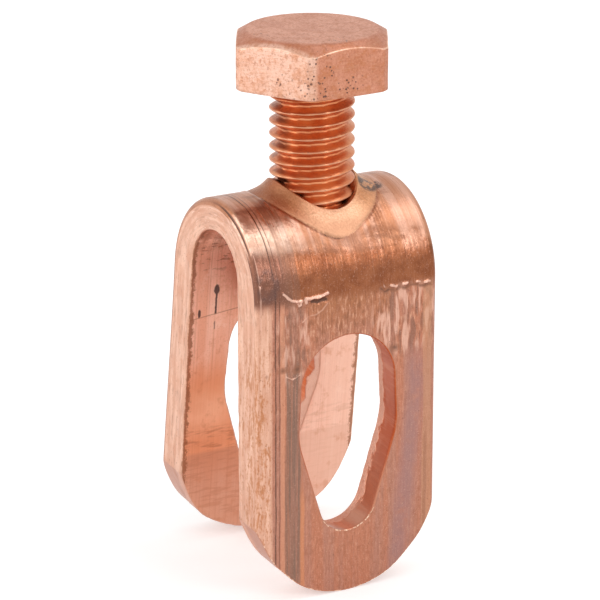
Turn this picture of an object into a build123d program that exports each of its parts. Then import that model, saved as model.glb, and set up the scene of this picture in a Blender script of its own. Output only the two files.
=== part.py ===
from build123d import *

import math
import os

# Earth rod clamp: a thick copper strip bent into an inverted U, with a flared hole at
# the top of the bend, a keyhole opening in each leg, and a hex bolt through the hole.
# Millimetres. X runs along the earth rod, Y across the strip and Z up the bolt.
# The origin is level with the round bottom of the right leg's opening, with x = 0 on
# the bolt's axis and y = 0 at the middle of the strip.

# Strip and bend
STRIP_WIDTH = 23.4
STRIP_THICKNESS = 4.8
CROWN_THICKNESS = 3.6        # the strip thins where it is stretched over the bend
CROWN_HEIGHT = 35.0          # top of the bend above the origin
BOLT_SIDE_ROOM = 0.15        # between the bolt and the straight leg's inner face
LEFT_BEND_EXTRA = 1.1        # the bend is wider on the side of the leg that stands out
LEFT_LEG_SPLAY = 7.3         # degrees that the left leg leans outwards
LEFT_SEAT_RISE = 0.2         # left opening's bottom above the right one's
EDGE_ROUND = 0.8             # rolled long corners on the outside of the strip

# Leg ends
END_RADIUS = 12.0
END_CENTRE_HEIGHT = 0.7      # centre of the end arc above the seat's centre

# Keyhole opening in each leg
SEAT_RADIUS = 3.7            # round bottom, centred at the seat's height
OPENING_HALF_WIDTH = 6.4
OPENING_SIDE_LOW = 8.2       # where the tapering sides would meet the straight ones
OPENING_SIDE_BLEND = 9.0     # radius that joins them
OPENING_TOP_RADIUS = 6.1
OPENING_TOP = 20.1

# Flared collar and its hole
HOLE_OFFSET = 0.7            # hole's centre from the middle of the strip
BOLT_CLEARANCE = 0.05
COLLAR_RADIUS = 8.2          # where the flare has run out into the bend
COLLAR_RISE_ACROSS = 1.65    # rim above the bend's surface, across the strip
COLLAR_RISE_ALONG = 0.3      # and along the rod, where the bend falls away
FLARE_POWER = 2.6            # how hollow the flare is
FLARE_ROOT_SINK = 0.12       # the flare's edge runs this far into the bend
COLLAR_SKIRT = 2.4           # depth of the collar's body below its surface
FLARE_UNDERLAP = 1.0         # the flare's surface starts this far inside the bore
FLARE_RINGS = 20             # points that define the flare's surface
FLARE_STEPS = 42

# Hex bolt, M10 by 1.5. The shank and the bore stand plain, at the thread's outer size.
BOLT_RADIUS = 4.9
BOLT_LENGTH = 30.0
HEAD_STANDOFF = 12.4         # head's underside above the top of the bend
HEAD_ACROSS_FLATS = 17.0
HEAD_HEIGHT = 6.1
HEAD_TOP_RADIUS = 7.5        # flat circle left by the chamfer
HEAD_CHAMFER_ANGLE = 30.0
HEAD_TURN = -29.5            # turn of the head's corners about the bolt
TIP_CHAMFER = 0.9
NECK_FILLET = 0.45           # under the head

half_width = STRIP_WIDTH / 2
splay = math.radians(LEFT_LEG_SPLAY)
crown_inside = CROWN_HEIGHT - CROWN_THICKNESS
gap_right = BOLT_RADIUS + BOLT_SIDE_ROOM
gap_left = gap_right + LEFT_BEND_EXTRA
outer_right = gap_right + STRIP_THICKNESS
leg_growth = STRIP_THICKNESS - CROWN_THICKNESS * math.sin(splay)
outer_left = gap_left + leg_growth / (1 - math.sin(splay))
bore_radius = BOLT_RADIUS + BOLT_CLEARANCE
end_bottom = END_RADIUS - END_CENTRE_HEIGHT
leg_blank = end_bottom + 4.0
cutter_reach = outer_left + CROWN_HEIGHT


def arch_block(crown, right_radius, left_radius, width):
    """A solid arch: a straight right side, a bend with a radius for each half, a splayed left side."""
    right_centre = crown - right_radius
    left_centre = crown - left_radius
    tangent_x = -left_radius * math.cos(splay)
    tangent_z = left_centre + left_radius * math.sin(splay)
    fall = tangent_z + leg_blank
    foot_x = tangent_x - fall * math.tan(splay)
    with BuildPart() as block:
        with BuildSketch(Plane.XZ):
            with BuildLine():
                Line((right_radius, -leg_blank), (right_radius, right_centre))
                CenterArc((0, right_centre), right_radius, 0, 90)
                CenterArc((0, left_centre), left_radius, 90, 90 - LEFT_LEG_SPLAY)
                Line((tangent_x, tangent_z), (foot_x, -leg_blank))
                Line((foot_x, -leg_blank), (right_radius, -leg_blank))
            make_face()
        extrude(amount=width / 2, both=True)
    return block.part


def bent_strip():
    """The strip after bending, with the long outer corners rolled over."""
    outside = arch_block(CROWN_HEIGHT, outer_right, outer_left, STRIP_WIDTH)
    side_edges = outside.faces().filter_by(Axis.Y).edges()
    long_edges = side_edges.filter_by(lambda edge: (edge @ 0.5).Z > -leg_blank + 0.01)
    outside = fillet(long_edges, EDGE_ROUND)
    gap = arch_block(crown_inside, gap_right, gap_left, STRIP_WIDTH + 2)
    return outside - gap


def keyhole(length):
    """The opening's cutter along X: a round seat, tapering sides, straight sides and a round top."""
    top_centre = OPENING_TOP - OPENING_TOP_RADIUS
    corner = (OPENING_HALF_WIDTH, OPENING_SIDE_LOW)
    reach = math.hypot(*corner)
    lean = math.atan2(corner[1], corner[0]) - math.acos(SEAT_RADIUS / reach)
    touch = (SEAT_RADIUS * math.cos(lean), SEAT_RADIUS * math.sin(lean))
    shoulder = (OPENING_TOP_RADIUS, top_centre)
    with BuildPart() as cutter:
        with BuildSketch(Plane.YZ) as outline:
            with BuildLine():
                ThreePointArc((-touch[0], touch[1]), (0, -SEAT_RADIUS), touch)
                Polyline(touch, corner, shoulder)
                ThreePointArc(shoulder, (0, OPENING_TOP), (-shoulder[0], shoulder[1]))
                Polyline((-shoulder[0], shoulder[1]), (-corner[0], corner[1]), (-touch[0], touch[1]))
            make_face()
            sides = outline.vertices().filter_by(lambda v: abs(v.Z - OPENING_SIDE_LOW) < 0.01)
            fillet(sides, OPENING_SIDE_BLEND)
        extrude(amount=length)
    return cutter.part


def leg_end_cutter(length):
    """What is sheared off a leg's end to leave its arc."""
    below = Box(
        length,
        STRIP_WIDTH + 4,
        leg_blank * 3,
        align=(Align.MIN, Align.CENTER, Align.MAX),
    )
    below = Pos(0, 0, END_CENTRE_HEIGHT) * below
    disc = Rot(0, 90, 0) * Cylinder(END_RADIUS, length, align=(Align.CENTER, Align.CENTER, Align.MIN))
    return below - Pos(0, 0, END_CENTRE_HEIGHT) * disc


def leg_frames():
    """Where each leg's cutters stand: X points out of the leg and the seat's centre is the origin."""
    right = Location((0, 0, 0))
    fall = crown_inside - gap_left - LEFT_SEAT_RISE
    foot_x = -gap_left / math.cos(splay) - fall * math.tan(splay)
    left = Pos(foot_x, 0, LEFT_SEAT_RISE) * Rot(0, LEFT_LEG_SPLAY, 0) * Rot(0, 0, 180)
    return right, left


def flare_height(x, y):
    """Height of the collar's surface: the bend's own, raised towards the hole's rim."""
    bend_radius = outer_right if x > 0 else outer_left
    bend = CROWN_HEIGHT - bend_radius + math.sqrt(bend_radius**2 - x**2)
    radius = math.hypot(x, y)
    across = (y / radius)**2 if radius > 0 else 0.5
    rise = COLLAR_RISE_ALONG + (COLLAR_RISE_ACROSS - COLLAR_RISE_ALONG) * across
    near_hole = min(max((COLLAR_RADIUS - radius) / (COLLAR_RADIUS - bore_radius), 0), 1)
    return bend + rise * near_hole**FLARE_POWER - FLARE_ROOT_SINK * (radius / COLLAR_RADIUS)**2


def collar():
    """The metal drawn up round the hole: a hollow flare with a saddle-shaped rim."""
    rows = []
    inner = bore_radius - FLARE_UNDERLAP
    for ring in range(FLARE_RINGS + 1):
        radius = inner + (COLLAR_RADIUS - inner) * ring / FLARE_RINGS
        row = []
        for step in range(FLARE_STEPS + 1):
            angle = 2 * math.pi * step / FLARE_STEPS
            x = radius * math.cos(angle)
            y = radius * math.sin(angle)
            row.append((x, HOLE_OFFSET + y, flare_height(x, y)))
        rows.append(row)
    surface = Face.make_surface_from_array_of_points(rows, tol=0.002)
    return extrude(surface, amount=COLLAR_SKIRT, dir=(0, 0, -1))


def hole_cutter():
    """The bore through the crown."""
    bottom = crown_inside - gap_left
    bore = Cylinder(bore_radius, cutter_reach, align=(Align.CENTER, Align.CENTER, Align.MIN))
    return Pos(0, HOLE_OFFSET, bottom) * bore


def clamp_body():
    """The strip, bent, pierced, sheared and with its hole drawn into a collar."""
    body = bent_strip()
    for frame in leg_frames():
        body = body - frame * keyhole(cutter_reach) - frame * leg_end_cutter(cutter_reach)
    body = body + collar()
    return body - hole_cutter()


def hex_bolt():
    """A hex head with its corners chamfered, on a shank with a filleted neck and a chamfered tip."""
    corner_radius = HEAD_ACROSS_FLATS / math.sqrt(3)
    rim = corner_radius + 1
    rim_drop = (rim - HEAD_TOP_RADIUS) * math.tan(math.radians(HEAD_CHAMFER_ANGLE))
    with BuildPart() as head:
        with BuildSketch():
            RegularPolygon(corner_radius, 6, rotation=HEAD_TURN)
        extrude(amount=HEAD_HEIGHT)
    with BuildPart() as turned:
        with BuildSketch(Plane.XZ):
            with BuildLine():
                Polyline(
                    (0, 0),
                    (rim, 0),
                    (rim, HEAD_HEIGHT - rim_drop),
                    (HEAD_TOP_RADIUS, HEAD_HEIGHT),
                    (0, HEAD_HEIGHT),
                    close=True,
                )
            make_face()
        revolve(axis=Axis.Z)
    shank = Cylinder(BOLT_RADIUS, BOLT_LENGTH, align=(Align.CENTER, Align.CENTER, Align.MAX))
    tip = shank.edges().sort_by(Axis.Z)[0]
    shank = chamfer(tip, TIP_CHAMFER)
    bolt = (head.part & turned.part) + shank
    neck = bolt.edges().filter_by(GeomType.CIRCLE).sort_by(lambda edge: abs(edge.center().Z) + edge.radius)[0]
    bolt = fillet(neck, NECK_FILLET)
    return Pos(0, HOLE_OFFSET, CROWN_HEIGHT + HEAD_STANDOFF) * bolt


os.makedirs("parts", exist_ok=True)
export_step(clamp_body(), "parts/clamp_body.step")
export_step(hex_bolt(), "parts/hex_bolt.step")
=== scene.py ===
import math

import bpy
import numpy as np
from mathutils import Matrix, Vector
from mathutils.geometry import delaunay_2d_cdt


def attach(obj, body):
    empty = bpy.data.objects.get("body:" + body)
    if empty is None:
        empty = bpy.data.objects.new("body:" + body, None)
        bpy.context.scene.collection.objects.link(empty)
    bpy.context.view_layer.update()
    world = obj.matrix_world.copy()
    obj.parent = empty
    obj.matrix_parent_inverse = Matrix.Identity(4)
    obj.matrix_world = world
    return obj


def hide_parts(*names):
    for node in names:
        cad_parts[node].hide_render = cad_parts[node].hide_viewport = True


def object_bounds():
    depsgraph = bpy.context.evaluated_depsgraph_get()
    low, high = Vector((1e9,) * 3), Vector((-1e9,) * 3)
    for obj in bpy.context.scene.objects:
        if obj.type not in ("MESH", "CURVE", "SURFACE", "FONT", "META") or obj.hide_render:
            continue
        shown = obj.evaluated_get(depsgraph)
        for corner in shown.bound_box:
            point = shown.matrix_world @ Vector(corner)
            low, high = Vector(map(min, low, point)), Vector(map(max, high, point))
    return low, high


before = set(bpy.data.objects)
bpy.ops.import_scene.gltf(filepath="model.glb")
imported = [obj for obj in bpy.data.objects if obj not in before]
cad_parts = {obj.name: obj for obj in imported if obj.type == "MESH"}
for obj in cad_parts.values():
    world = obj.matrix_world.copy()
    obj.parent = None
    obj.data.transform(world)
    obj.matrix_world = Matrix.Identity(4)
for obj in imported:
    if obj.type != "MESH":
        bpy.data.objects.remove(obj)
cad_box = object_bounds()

# Lengths are millimetres until mesh_object() scales them. X runs along the earth rod,
# Y across the strip and Z up the bolt, with the origin at the seat of the straight leg.
MM = 0.001
SHARP_ANGLE = math.radians(27)

# Strip and bend
HALF_WIDTH = 11.7
CROWN = 35.0
CROWN_THICKNESS = 3.6
GAP_RIGHT = 5.05
GAP_LEFT = 6.15
THICKNESS = 4.8
SPLAY = math.radians(7.3)
LEFT_SEAT_RISE = 0.2
LEFT_END_SWELL = 0.45       # the splayed leg thickens towards its end
SWELL_FROM = 20.0           # distance along the strip at which it starts to
SWELL_LENGTH = 22.0
EDGE_ROUND = 0.8
INNER_BREAK = 0.22          # width of the small break along the inner long edges
SHEAR_BREAK = 0.16          # and round everything that was sheared or punched

# Leg ends and openings
END_RADIUS = 12.0
PUNCH_TAPER = {1: 0.55, -1: 0.05}   # each leg's opening is this much wider on its inner face
SHEAR_TAPER = 0.25          # and a leg's end this much higher
END_CENTRE = 0.7
END_CUT_IN = {1: 0.36, -1: -0.3}    # how much higher each leg's end is at its sides than a true arc
CUT_IN_AT = 8.6             # and where across the strip that is
CUT_IN_WIDTH = 1.9
CORNER_FROM = 9.0           # beyond this far from the middle the ends run straight to their corners
CORNER_SAG = 0.45           # and sag by up to a quarter of this part of their rise
SEAT_RADIUS = 3.7
OPENING_HALF = 6.4
OPENING_SIDE_LOW = 8.2
OPENING_BLEND = 9.0
OPENING_TOP_RADIUS = 6.1
OPENING_TOP = 20.1

# Collar and bolt
HOLE_Y = 0.7
BORE = 4.95
MOUTH_BREAK = 0.3
MOUTH_WORN = 0.55           # more of the mouth is broken away on the straight leg's side
MOUTH_WORN_AT = math.radians(24)
MOUTH_WORN_WIDTH = 0.75
CREASE_RADIUS = 7.4         # where the collar's tool stopped
CREASE_POINT = 0.5          # the crease runs out further above the straight leg
COLLAR_RADIUS = 8.2
RISE_ACROSS = 1.65
RISE_ALONG = 0.3
FLARE_POWER = 2.6
BOLT_RADIUS = 4.88
THREAD_DEPTH = 0.86
THREAD_ROOT = 0.13          # part of half a pitch that the root takes, and the flank beside it
THREAD_FLANK = 0.78
BORE_THREAD_DEPTH = 0.62
PITCH = 1.5
THREAD_CLEARANCE = 0.05
THREAD_START = 0.45         # height of the helix at angle 0, above the head's underside
BOLT_LENGTH = 30.0
HEAD_Z = CROWN + 12.4
HEAD_FLATS = 17.0
HEAD_HEIGHT = 6.1
HEAD_TOP_RADIUS = 7.5
HEAD_TURN = math.radians(-29.5)
HEAD_CHAMFER = math.tan(math.radians(30))
SIXTH = math.radians(60)

CROWN_INSIDE = CROWN - CROWN_THICKNESS
OUTER_RIGHT = GAP_RIGHT + THICKNESS
OUTER_LEFT = GAP_LEFT + (THICKNESS - CROWN_THICKNESS * math.sin(SPLAY)) / (1 - math.sin(SPLAY))


# ---------------------------------------------------------------- flat pattern and bend

class Sheet:
    """One face of the strip. s is the distance along it from the crown, positive to the right leg."""

    def __init__(self, crown, right, left):
        self.crown = crown
        self.right = right
        self.left = left
        self.turn_right = math.pi / 2
        self.turn_left = math.pi / 2 - SPLAY

    def place(self, s):
        """x, z and the outward normal's x, z at each s."""
        s = np.asarray(s, float)
        on_right = s >= 0
        radius = np.where(on_right, self.right, self.left)
        turn = np.where(on_right, self.turn_right, self.turn_left)
        angle = np.minimum(np.abs(s) / radius, turn)
        straight = np.maximum(np.abs(s) - radius * turn, 0)
        sign = np.where(on_right, 1.0, -1.0)
        x = sign * (radius * np.sin(angle) + straight * np.cos(angle))
        z = self.crown - radius + radius * np.cos(angle) - straight * np.sin(angle)
        return x, z, sign * np.sin(angle), np.cos(angle)

    def leg_s(self, side, height):
        """s at a height above the seat, measured along the leg."""
        if side > 0:
            return self.right * self.turn_right + (self.crown - self.right - height)
        return -(self.left * self.turn_left + self.left_tangent_height() - height)

    def left_tangent_height(self):
        """Height along the splayed leg, above its seat, at which the bend ends."""
        fall = CROWN_INSIDE - GAP_LEFT - LEFT_SEAT_RISE
        foot_x = -GAP_LEFT / math.cos(SPLAY) - fall * math.tan(SPLAY)
        tangent_x = -self.left * math.cos(SPLAY)
        tangent_z = self.crown - self.left + self.left * math.sin(SPLAY)
        rise = tangent_z - LEFT_SEAT_RISE
        return (tangent_x - foot_x) * math.sin(SPLAY) + rise * math.cos(SPLAY)

    def leg_height(self, s):
        """Height along the leg above the seat, for either leg."""
        right = self.leg_s(1, 0.0) - s
        left = s - self.leg_s(-1, 0.0)
        return np.where(s >= 0, right, left)


OUTER = Sheet(CROWN, OUTER_RIGHT, OUTER_LEFT)
INNER = Sheet(CROWN_INSIDE, GAP_RIGHT, GAP_LEFT)
FLAT_HALF = HALF_WIDTH - EDGE_ROUND
ROLL_HALF = FLAT_HALF + EDGE_ROUND * math.pi / 2


def roll(eta):
    """y and depth below the surface, across the outer face and round its rolled corners."""
    eta = np.asarray(eta, float)
    angle = np.clip((np.abs(eta) - FLAT_HALF) / EDGE_ROUND, 0, math.pi / 2)
    y = np.minimum(np.abs(eta), FLAT_HALF) + EDGE_ROUND * np.sin(angle)
    return np.sign(eta) * y, EDGE_ROUND * (1 - np.cos(angle))


def unroll(y):
    """The distance across the outer face at each y."""
    y = np.asarray(y, float)
    angle = np.arcsin(np.clip((np.abs(y) - FLAT_HALF) / EDGE_ROUND, 0, 1))
    return np.sign(y) * (np.minimum(np.abs(y), FLAT_HALF) + EDGE_ROUND * angle)


def value_noise(u, v, seed):
    """Smooth noise in -1..1 on a unit lattice, the same on every run."""
    table = np.random.default_rng(seed).uniform(-1, 1, (64, 64))
    iu = np.floor(u).astype(int)
    iv = np.floor(v).astype(int)
    fu = u - iu
    fv = v - iv
    fu = fu * fu * (3 - 2 * fu)
    fv = fv * fv * (3 - 2 * fv)
    a = table[iu % 64, iv % 64]
    b = table[(iu + 1) % 64, iv % 64]
    c = table[iu % 64, (iv + 1) % 64]
    d = table[(iu + 1) % 64, (iv + 1) % 64]
    return (a * (1 - fu) + b * fu) * (1 - fv) + (c * (1 - fu) + d * fu) * fv


def bump(u, v, u0, v0, su, sv):
    """A smooth bump of height 1 at (u0, v0)."""
    return np.exp(-((u - u0) / su)**2 - ((v - v0) / sv)**2)


# Marks of the bending tools on the straight leg. Each is its height (a hollow is negative),
# its half width, how far below its line it lies, and the line's (y, height on the leg) points.
FORK_UPPER = ((-8.4, 26.2), (-7.4, 25.3), (-6.7, 25.05), (-6.1, 25.1))
FORK_LOWER = ((-6.8, 25.05), (-6.5, 24.6), (-6.2, 24.75))
TORN_LIP = ((-5.5, 24.85), (-5.6, 25.2), (-4.6, 25.3), (-3.8, 25.25), (-2.8, 25.5))
TORN_HOLLOW = ((-4.7, 24.85), (-3.9, 24.75), (-3.0, 24.85))
CRUSHED_EDGE = ((-6.0, 22.7), (-5.2, 23.2), (-4.3, 23.25), (-3.4, 23.7), (-2.8, 24.4))
LUMPY_ROW = (
    (4.2, 25.35), (4.7, 24.85), (5.4, 25.15), (6.1, 24.8), (6.8, 25.2), (7.5, 24.95),
    (8.1, 25.15), (8.8, 25.05), (9.6, 24.8), (10.8, 24.8),
)
SMEARED_LIP = ((-8.2, 16.6), (-7.3, 16.05), (-6.3, 16.4))
RIDGES = (
    (0.16, 0.17, 0.0, FORK_UPPER),
    (-0.05, 0.22, 0.3, FORK_UPPER),
    (0.16, 0.17, 0.0, FORK_LOWER),
    (-0.05, 0.22, 0.3, FORK_LOWER),
    (0.26, 0.17, 0.0, TORN_LIP),
    (-0.16, 0.3, 0.0, TORN_HOLLOW),
    (0.07, 0.16, 0.0, CRUSHED_EDGE),
    (-0.10, 0.26, 0.4, LUMPY_ROW),
    (0.09, 0.14, 0.0, SMEARED_LIP),
)
LUMP_HEIGHT = 0.20
LUMP_WIDTH = 0.22
HOLLOW_DEPTH = 0.09
# (y, height on the leg, half width, half height)
DEEP_HOLLOWS = (
    (6.1, 17.5, 0.75, 0.5),
    (-6.6, 17.1, 0.8, 0.55),
    (-8.5, 17.2, 0.6, 0.35),
    (-10.5, 16.8, 0.3, 0.4),
)
TONGUES = ((7.3, 21.5, 3.2, 3.6), (-7.2, 20.5, 1.9, 3.8))
LEDGE = (0.5, 31.5, 9, 4)
CRUMPLE = (2.0, 30.9, 5.5, 1.25)
GRAZE = (-10.4, 26.8, 1.3, 1.6)
RELIEF_FADE = 0.6           # width over which the relief fades out at the outer long edges
COLLAR_FALL = 6.0           # no part of the collar is further than this below the crown
COLLAR_REACH = 9.5          # the collar lies within this distance of the crown, along the strip
ROPE = (-2.2, 8.0, 1.9, 2.2)    # a twisted lip in the collar's crease, as y and s


def ridge(y, height, path, width):
    """1 on a line through a few points, falling away over a width."""
    nearest = np.full(np.shape(y), np.inf)
    for (y0, h0), (y1, h1) in zip(path, path[1:]):
        dy = y1 - y0
        dh = h1 - h0
        along = np.clip(((y - y0) * dy + (height - h0) * dh) / (dy * dy + dh * dh), 0, 1)
        nearest = np.minimum(nearest, np.hypot(y - y0 - along * dy, height - h0 - along * dh))
    return np.exp(-(nearest / width)**2)


def shoulder_line(y):
    """Height along the straight leg at which the bending tool began to rub."""
    return 30.8 - 0.11 * (y + 9) + 0.022 * np.maximum(y, 0)**2


def crease_distance(s, y):
    """How far a point lies outside the collar's crease, measured in plan."""
    x = OUTER.place(s)[0]
    dy = y - HOLE_Y
    angle = np.arctan2(dy, x)
    reach = CREASE_RADIUS + CREASE_POINT * np.exp(-((angle + 0.14) / 0.42)**2)
    return np.hypot(x, dy) - reach


def leg_marks(y, height):
    """Height of the bending tool's marks on the straight leg."""
    at = height + 0.10 * value_noise(y / 0.5, height / 0.5, 14)
    marks = 0.0
    for rise, width, below, path in RIDGES:
        marks += rise * ridge(y, at + below, path, width)
    lumps = np.clip(0.55 + 1.3 * value_noise(y / 0.42, height / 0.8, 23), 0, 1.4)
    marks += LUMP_HEIGHT * lumps * ridge(y, at, LUMPY_ROW, LUMP_WIDTH)
    for hollow in DEEP_HOLLOWS:
        marks -= HOLLOW_DEPTH * bump(y, at, *hollow)
    tongues = sum(bump(y, height, *tongue) for tongue in TONGUES)
    marks += 0.07 * tongues * value_noise(y / 0.75, height / 4.5, 15)
    marks += 0.03 * tongues * value_noise(y / 0.4, height / 0.9, 16)
    above_shoulder = 1 / (1 + np.exp(-(height - shoulder_line(y)) / 0.18))
    marks -= 0.05 * above_shoulder * bump(y, height, *LEDGE)
    folds = value_noise(y / 1.7 + height / 2.2, height / 0.42, 17)
    marks += 0.06 * folds * bump(y, height, *CRUMPLE)
    grazes = value_noise(y / 0.35, height / 0.5, 18)
    return marks + 0.05 * grazes * bump(y, height, *GRAZE)


def crease_marks(s, y):
    """Height of the crease round the collar, which fades out above the straight leg."""
    out = crease_distance(s, y)
    angle = np.arctan2(y - HOLE_Y, OUTER.place(s)[0])
    faded = 1 - 0.85 * np.exp(-((angle - 0.08) / 0.34)**2)
    kept = faded * (np.abs(s) < COLLAR_REACH)
    rope = bump(y, s, *ROPE) * value_noise(y / 0.26, s / 0.34, 19)
    crease = (0.07 + 0.10 * rope) * np.exp(-(out / 0.2)**2)
    lip = (0.05 + 0.14 * np.maximum(rope, 0)) * np.exp(-((out - 0.35) / 0.25)**2)
    return (lip - crease) * kept


def edge_marks(s, y):
    """Height of the groove in the crown's front corner, and of the burr beside it."""
    groove = 0.20 * np.exp(-((y + FLAT_HALF + 0.72) / 0.17)**2) * np.exp(-((s - 5) / 5.5)**2)
    burr = 0.08 * np.exp(-((y + FLAT_HALF + 0.4) / 0.15)**2)
    return burr * np.clip((s - 3) / 4, 0, 1) * np.clip((24 - s) / 6, 0, 1) - groove


def tool_marks(s, y):
    """Height of the marks that the bending and drawing tools left on the outer face."""
    on_leg = leg_marks(y, OUTER.leg_height(s)) * (s > 0)
    return on_leg + crease_marks(s, y) + edge_marks(s, y)


def outer_relief(s, y):
    """Height of the tool marks and of the strip's own drawn lines and waviness."""
    lines = 0.014 * value_noise(y / 1.6, s / 30, 11) + 0.006 * value_noise(y / 0.5, s / 18, 12)
    return tool_marks(s, y) + lines + 0.03 * value_noise(y / 7 + 3, s / 9, 13)


def inner_relief(s, y):
    """Height of the small marks on the inner face."""
    return 0.012 * value_noise(y / 1.3, s / 25, 21) + 0.02 * value_noise(y / 5, s / 7, 22)


def flare(x, y):
    """What the collar adds to the bend's height round its hole."""
    dy = y - HOLE_Y
    radius = np.hypot(x, dy)
    across = (dy / np.maximum(radius, 1e-6))**2
    rise = RISE_ALONG + (RISE_ACROSS - RISE_ALONG) * across
    near = np.clip((COLLAR_RADIUS - radius) / (COLLAR_RADIUS - BORE), 0, 1)
    return rise * near**FLARE_POWER


def outer_point(s, eta):
    """The outer face in space, with its rolled corners, collar and marks."""
    y, depth = roll(eta)
    x, z, nx, nz = OUTER.place(s)
    swell = LEFT_END_SWELL * np.clip((-s - SWELL_FROM) / SWELL_LENGTH, 0, 1)
    fading = np.clip((ROLL_HALF - np.abs(eta)) / RELIEF_FADE, 0, 1)
    lift = outer_relief(s, eta) * fading - depth + swell
    top = np.where(z > CROWN - COLLAR_FALL, flare(x, y), 0)
    return np.stack([x + nx * lift, y, z + nz * lift + top], 1)


def inner_point(s, y):
    """The inner face in space."""
    x, z, nx, nz = INNER.place(s)
    lift = -inner_relief(s, y)
    return np.stack([x + nx * lift, y, z + nz * lift], 1)


# ---------------------------------------------------------------- outlines

ARC_STEP = 0.1
ROW_PER_STEP = 0.866        # rows this much closer than columns make even triangles
LOOP_ROOM = 0.2             # between an outline and the points beside it
EXTRA_ROOM = 0.12           # and between it and the extra points
CHUNK = 4000                # points looked at together, to save memory


def arc(centre, radius, start, end, step):
    """Points on an arc from angle start to end, ends included."""
    count = max(2, int(abs(end - start) * radius / step) + 1)
    angles = np.linspace(start, end, count)
    return np.stack([centre[0] + radius * np.cos(angles), centre[1] + radius * np.sin(angles)], 1)


def resample(points, count):
    """A closed outline as this many evenly spaced points."""
    loop = np.vstack([points, points[:1]])
    run = np.concatenate([[0], np.cumsum(np.hypot(*np.diff(loop, axis=0).T))])
    at = np.linspace(0, run[-1], count, endpoint=False)
    return np.stack([np.interp(at, run, loop[:, 0]), np.interp(at, run, loop[:, 1])], 1)


def grown(points, distance):
    """A closed counter-clockwise outline moved outwards."""
    tangent = np.roll(points, -1, axis=0) - np.roll(points, 1, axis=0)
    tangent /= np.hypot(*tangent.T)[:, None]
    return points + distance * np.stack([tangent[:, 1], -tangent[:, 0]], 1)


def blended(corner, before, after, radius):
    """The arc that rounds a corner between two points."""
    a = (before - corner) / np.hypot(*(before - corner))
    b = (after - corner) / np.hypot(*(after - corner))
    half = 0.5 * math.acos(float(np.clip(a @ b, -1, 1)))
    back = radius / math.tan(half)
    centre = corner + (a + b) / np.hypot(*(a + b)) * radius / math.sin(half)
    start = corner + a * back - centre
    end = corner + b * back - centre
    first = math.atan2(start[1], start[0])
    swing = (math.atan2(end[1], end[0]) - first + math.pi) % (2 * math.pi) - math.pi
    return arc(centre, radius, first, first + swing, ARC_STEP)


def keyhole(count):
    """The opening as (y, height), counter-clockwise from the seat."""
    corner = np.array([OPENING_HALF, OPENING_SIDE_LOW])
    lean = math.atan2(corner[1], corner[0]) - math.acos(SEAT_RADIUS / math.hypot(*corner))
    touch = SEAT_RADIUS * np.array([math.cos(lean), math.sin(lean)])
    top_centre = OPENING_TOP - OPENING_TOP_RADIUS
    shoulder = np.array([OPENING_TOP_RADIUS, top_centre])
    right = np.vstack([
        arc((0, 0), SEAT_RADIUS, -math.pi / 2, lean, ARC_STEP),
        blended(corner, touch, shoulder, OPENING_BLEND),
        arc((0, top_centre), OPENING_TOP_RADIUS, 0, math.pi / 2, ARC_STEP),
    ])
    left = right[::-1][1:-1] * [-1, 1]
    return resample(np.vstack([right, left]), count)


def inside(points, polygon):
    """Which points lie in a polygon."""
    px, py = points[:, 0:1], points[:, 1:2]
    ax, ay = polygon[:, 0], polygon[:, 1]
    bx, by = np.roll(ax, -1), np.roll(ay, -1)
    result = np.zeros(len(points), bool)
    for start in range(0, len(points), CHUNK):
        rows = slice(start, start + CHUNK)
        x, y = px[rows], py[rows]
        spans = (ay > y) != (by > y)
        with np.errstate(divide="ignore", invalid="ignore"):
            cross = x < (bx - ax) * (y - ay) / (by - ay) + ax
        result[rows] = (spans & cross).sum(1) % 2 == 1
    return result


def clear_of(points, outline, distance):
    """Which points are further than a distance from every point of an outline."""
    keep = np.ones(len(points), bool)
    for start in range(0, len(points), CHUNK):
        rows = slice(start, start + CHUNK)
        gap = points[rows, None, :] - outline[None, :, :]
        keep[rows] = (gap**2).sum(2).min(1) > distance**2
    return keep


def lattice(low, high, step):
    """Staggered rows of points in a rectangle."""
    columns = np.arange(low[0], high[0], step)
    grid = []
    for number, height in enumerate(np.arange(low[1], high[1], step * ROW_PER_STEP)):
        shifted = columns + (number % 2) * step / 2
        grid.append(np.stack([shifted, np.full(len(columns), height)], 1))
    return np.vstack(grid)


def in_box(points, low, high):
    """Which points lie in a box."""
    return np.all((points > low) & (points < high), 1)


def filled(outline, holes, step, fine_boxes, extra):
    """Triangles over a flat region with holes, and where each outline's points ended up."""
    loops = [outline] + holes
    low = outline.min(0)
    high = outline.max(0)
    body = lattice(low, high, step)
    for box_low, box_high, fine_step in fine_boxes:
        body = body[~in_box(body, box_low, box_high)]
        body = np.vstack([body, lattice(box_low, box_high, fine_step)])
    keep = inside(body, outline)
    for hole in holes:
        keep &= ~inside(body, hole)
    body = body[keep]
    for loop in loops:
        body = body[clear_of(body, loop, LOOP_ROOM)]
    if len(extra):
        extra = extra[inside(extra, outline)]
        extra = extra[clear_of(extra, outline, EXTRA_ROOM)]
        body = body[clear_of(body, extra, step * 0.4)]
        body = np.vstack([body, extra])
    points = np.vstack(loops + [body])
    edges = []
    start = 0
    for loop in loops:
        count = len(loop)
        edges += [(start + i, start + (i + 1) % count) for i in range(count)]
        start += count
    result = delaunay_2d_cdt([Vector(p) for p in points], edges, [], 0, 1e-6)
    out = np.array([v[:] for v in result[0]])
    triangles = np.array([f for f in result[2] if len(f) == 3])
    centre = out[triangles].mean(1)
    keep = inside(centre, outline)
    for hole in holes:
        keep &= ~inside(centre, hole)
    order = np.full(len(points), -1)
    for new, originals in enumerate(result[3]):
        if originals:
            order[originals[0]] = new
    return out, triangles[keep], order


# ---------------------------------------------------------------- clamp body

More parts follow.
